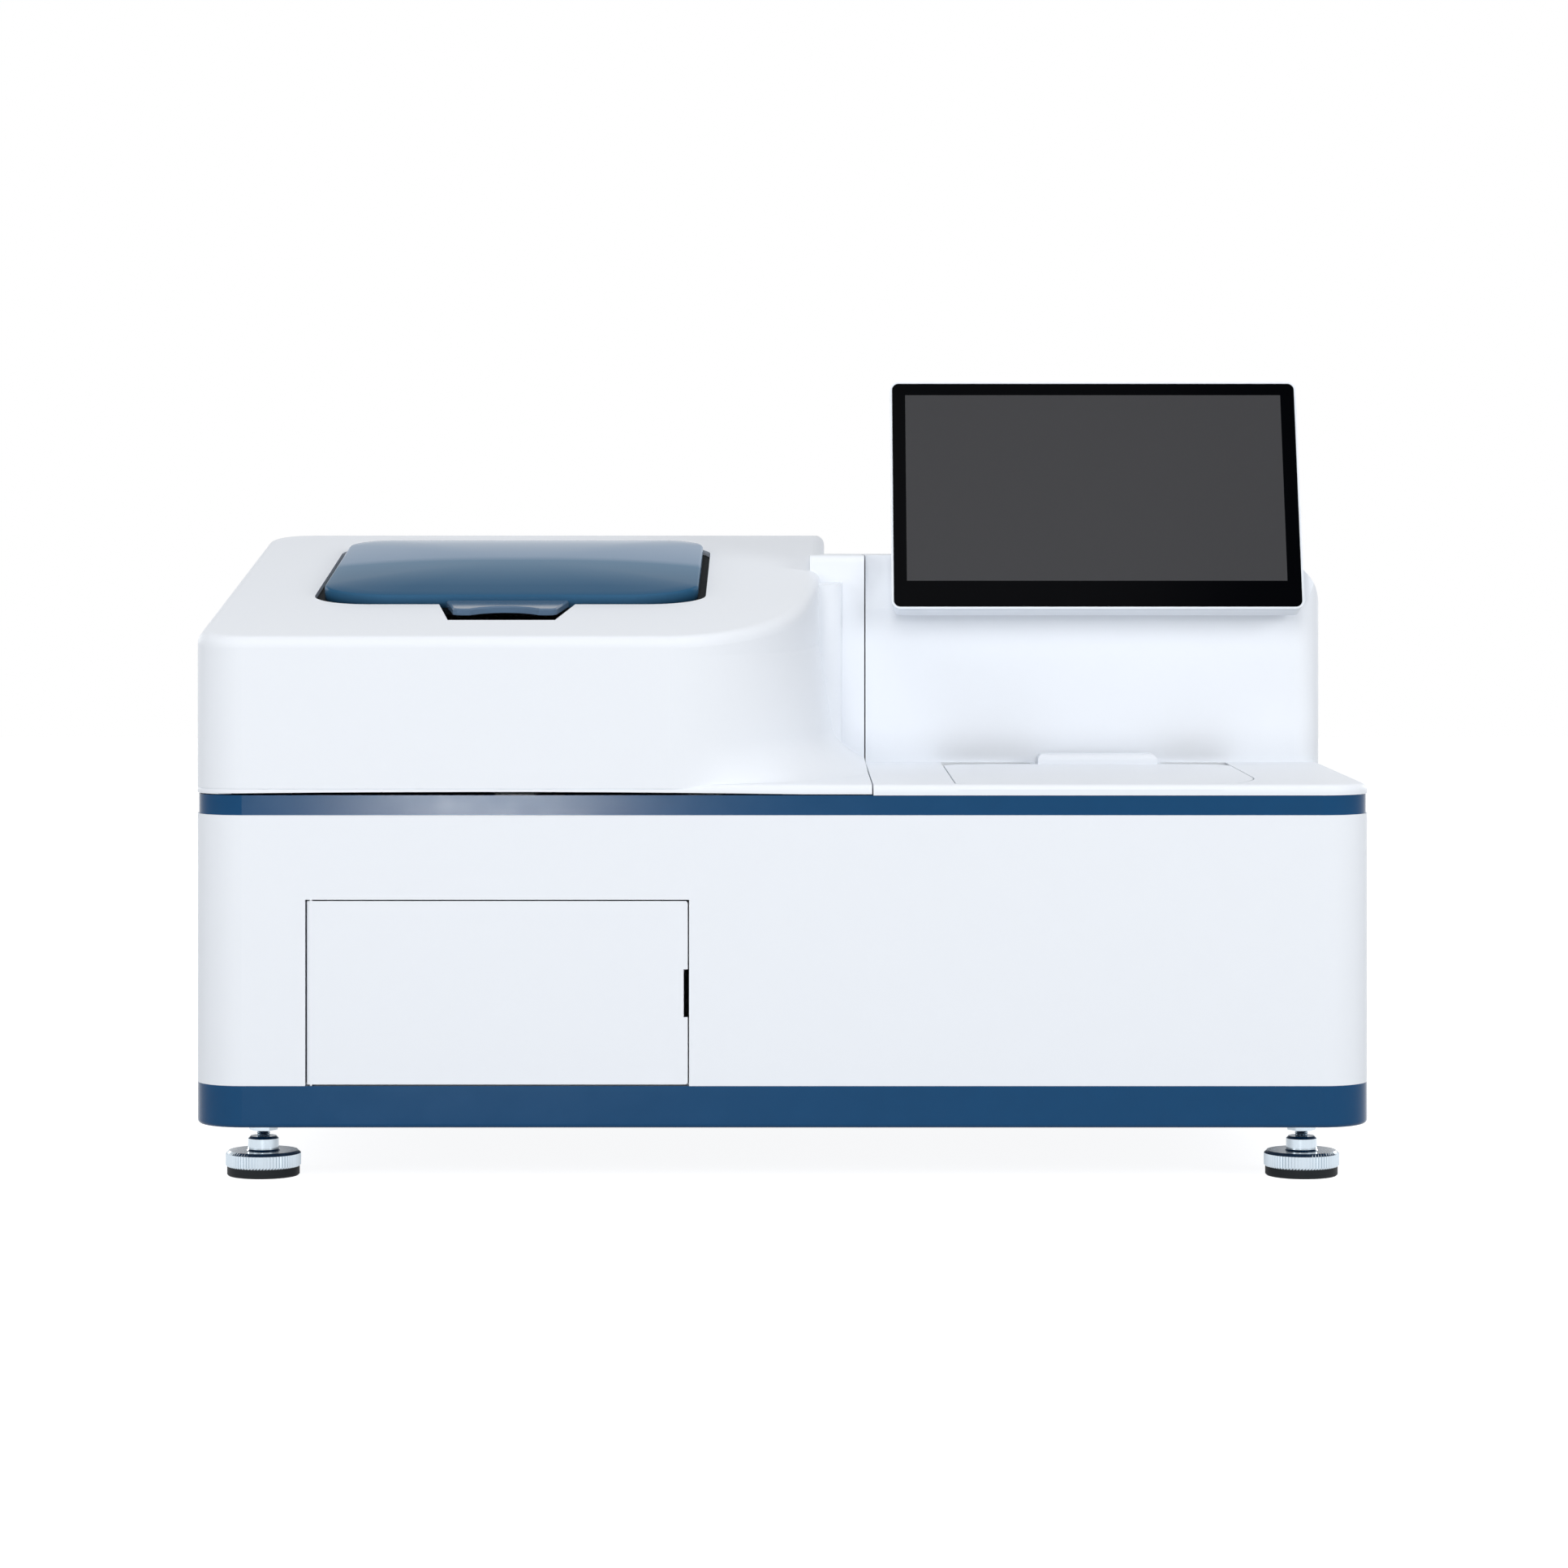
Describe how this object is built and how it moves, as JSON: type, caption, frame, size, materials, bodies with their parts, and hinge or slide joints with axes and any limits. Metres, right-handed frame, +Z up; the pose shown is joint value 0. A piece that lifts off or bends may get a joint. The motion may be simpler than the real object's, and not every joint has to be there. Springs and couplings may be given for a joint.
{
  "type": "microplate reader",
  "caption": "Wide benchtop plate reader with a domed window lid in a lift-up cover, a loading hatch, a tilted touch screen, a front door and levelling feet.",
  "frame": {"origin": "middle of the footprint, on the surface that the feet stand on", "axes": "+X to the right as seen from the front, +Y to the rear, +Z up"},
  "size_m": [0.86, 0.55, 0.596],
  "materials": {
    "white_shell": "satin moulded",
    "blue_shell": "satin moulded",
    "dark_plastic": "fine grain",
    "smoked_blue": "polished, translucent",
    "screen_glass": "polished",
    "display": "matt dark",
    "chrome": "bright",
    "steel": "brushed",
    "aluminium": "milled",
    "rubber": "matt",
    "clear_plate": "clear polystyrene",
    "bottle_plastic": "translucent",
    "board": "solder mask"
  },
  "bodies": {
    "base": {"base_tray": "blue_shell", "lower_housing": "white_shell", "accent_strip": "blue_shell", "rear_panel": "steel", "data_ports": "dark_plastic", "cover_hinge_leaves": "steel", "cover_hinge_pins": "steel", "right_cover": "white_shell", "hatch_hinge_pin": "steel", "door_hinge_pins": "steel", "bottle_bay": "steel", "door_catch": "dark_plastic", "bottles": "bottle_plastic", "bottle_caps": "blue_shell", "screen_housing": "white_shell", "screen_bezel": "aluminium", "screen_glass": "screen_glass", "display_panel": "display", "foot_nuts": "chrome", "work_deck": "aluminium", "deck_posts": "steel", "carriage_rails": "steel", "screw_bearings": "steel", "carriage_motor": "steel", "gantry_frame": "aluminium", "head_motor": "steel", "wash_bridge": "aluminium", "lamp_housing": "dark_plastic", "filter_motor": "steel", "power_supply": "steel", "main_board": "board", "wash_pump": "dark_plastic", "fan_frame": "dark_plastic", "mains_inlet": "dark_plastic", "switch_frame": "dark_plastic"},
    "top_cover": {"left_cover": "white_shell", "window_frame": "dark_plastic", "lid_hinge_pins": "steel", "cover_hinge_arms": "steel"},
    "lid": {"window_lid": "smoked_blue", "lid_handle": "smoked_blue"},
    "hatch": {"hatch_lid": "white_shell"},
    "door": {"front_door": "white_shell"},
    "carriage": {"plate_carriage": "aluminium", "microplate": "clear_plate"},
    "carriage_screw": {"lead_screw": "steel"},
    "head": {"read_head": "dark_plastic"},
    "head_drive": {"head_screw": "steel"},
    "wash_comb": {"wash_manifold": "aluminium"},
    "wheel": {"filter_wheel": "aluminium"},
    "fan": {"fan_rotor": "dark_plastic"},
    "rocker": {"power_rocker": "dark_plastic"},
    "foot_1": {"foot_pad_1": "rubber"},
    "foot_1_screw": {"foot_stud_1": "chrome"},
    "foot_2": {"foot_pad_2": "rubber"},
    "foot_2_screw": {"foot_stud_2": "chrome"},
    "foot_3": {"foot_pad_3": "rubber"},
    "foot_3_screw": {"foot_stud_3": "chrome"},
    "foot_4": {"foot_pad_4": "rubber"},
    "foot_4_screw": {"foot_stud_4": "chrome"}
  },
  "joints": [
    {"name": "cover_hinge", "type": "hinge", "parent": "base", "child": "top_cover", "pos_m": [-0.185, 0.2705, 0.287], "axis": [-1, 0, 0], "range_deg": [0, 55]},
    {"name": "lid_hinge", "type": "hinge", "parent": "top_cover", "child": "lid", "pos_m": [-0.2095, 0.18815, 0.4641], "axis": [-1, 0, 0], "range_deg": [0, 75]},
    {"name": "hatch_hinge", "type": "hinge", "parent": "base", "child": "hatch", "pos_m": [0.249, 0.041, 0.2875], "axis": [-1, 0, 0], "range_deg": [0, 70]},
    {"name": "door_hinge", "type": "hinge", "parent": "base", "child": "door", "pos_m": [-0.3437, -0.272, 0.14], "axis": [0, 0, -1], "range_deg": [0, 100]},
    {"name": "carriage_slide", "type": "slide", "parent": "base", "child": "carriage", "axis": [-1, 0, 0], "range_m": [0, 0.42]},
    {"name": "carriage_screw_spin", "type": "hinge", "parent": "base", "child": "carriage_screw", "pos_m": [0, -0.06, 0.249], "axis": [1, 0, 0], "continuous": true},
    {"name": "head_slide", "type": "slide", "parent": "base", "child": "head", "axis": [0, 1, 0], "range_m": [-0.05, 0.05]},
    {"name": "head_screw_spin", "type": "hinge", "parent": "base", "child": "head_drive", "pos_m": [-0.2, 0, 0.34], "axis": [0, 1, 0], "continuous": true},
    {"name": "wash_lift", "type": "slide", "parent": "base", "child": "wash_comb", "axis": [0, 0, -1], "range_m": [0, 0.012]},
    {"name": "filter_wheel_spin", "type": "hinge", "parent": "base", "child": "wheel", "pos_m": [-0.36, 0.105, 0.275], "axis": [0, 1, 0], "continuous": true},
    {"name": "fan_spin", "type": "hinge", "parent": "base", "child": "fan", "pos_m": [0.2, 0.25, 0.165], "axis": [0, 1, 0], "continuous": true},
    {"name": "rocker_tilt", "type": "hinge", "parent": "base", "child": "rocker", "pos_m": [-0.16, 0.264, 0.13], "axis": [1, 0, 0], "range_deg": [-8, 8]},
    {"name": "foot_1_level", "type": "slide", "parent": "base", "child": "foot_1", "axis": [0, 0, -1], "range_m": [-0.004, 0.008]},
    {"name": "foot_1_turn", "type": "hinge", "parent": "foot_1", "child": "foot_1_screw", "pos_m": [-0.384, -0.22, 0.02], "axis": [0, 0, -1], "range_deg": [-960, 1920]},
    {"name": "foot_2_level", "type": "slide", "parent": "base", "child": "foot_2", "axis": [0, 0, -1], "range_m": [-0.004, 0.008]},
    {"name": "foot_2_turn", "type": "hinge", "parent": "foot_2", "child": "foot_2_screw", "pos_m": [0.384, -0.22, 0.02], "axis": [0, 0, -1], "range_deg": [-960, 1920]},
    {"name": "foot_3_level", "type": "slide", "parent": "base", "child": "foot_3", "axis": [0, 0, -1], "range_m": [-0.004, 0.008]},
    {"name": "foot_3_turn", "type": "hinge", "parent": "foot_3", "child": "foot_3_screw", "pos_m": [-0.384, 0.21, 0.02], "axis": [0, 0, -1], "range_deg": [-960, 1920]},
    {"name": "foot_4_level", "type": "slide", "parent": "base", "child": "foot_4", "axis": [0, 0, -1], "range_m": [-0.004, 0.008]},
    {"name": "foot_4_turn", "type": "hinge", "parent": "foot_4", "child": "foot_4_screw", "pos_m": [0.384, 0.21, 0.02], "axis": [0, 0, -1], "range_deg": [-960, 1920]}
  ],
  "couplings": [
    {"joint": "carriage_screw_spin", "follows": "carriage_slide", "rad_per_m": 628.32},
    {"joint": "head_screw_spin", "follows": "head_slide", "rad_per_m": 1256.6},
    {"joint": "foot_1_turn", "follows": "foot_1_level", "rad_per_m": 4188.8},
    {"joint": "foot_2_turn", "follows": "foot_2_level", "rad_per_m": 4188.8},
    {"joint": "foot_3_turn", "follows": "foot_3_level", "rad_per_m": 4188.8},
    {"joint": "foot_4_turn", "follows": "foot_4_level", "rad_per_m": 4188.8}
  ]
}
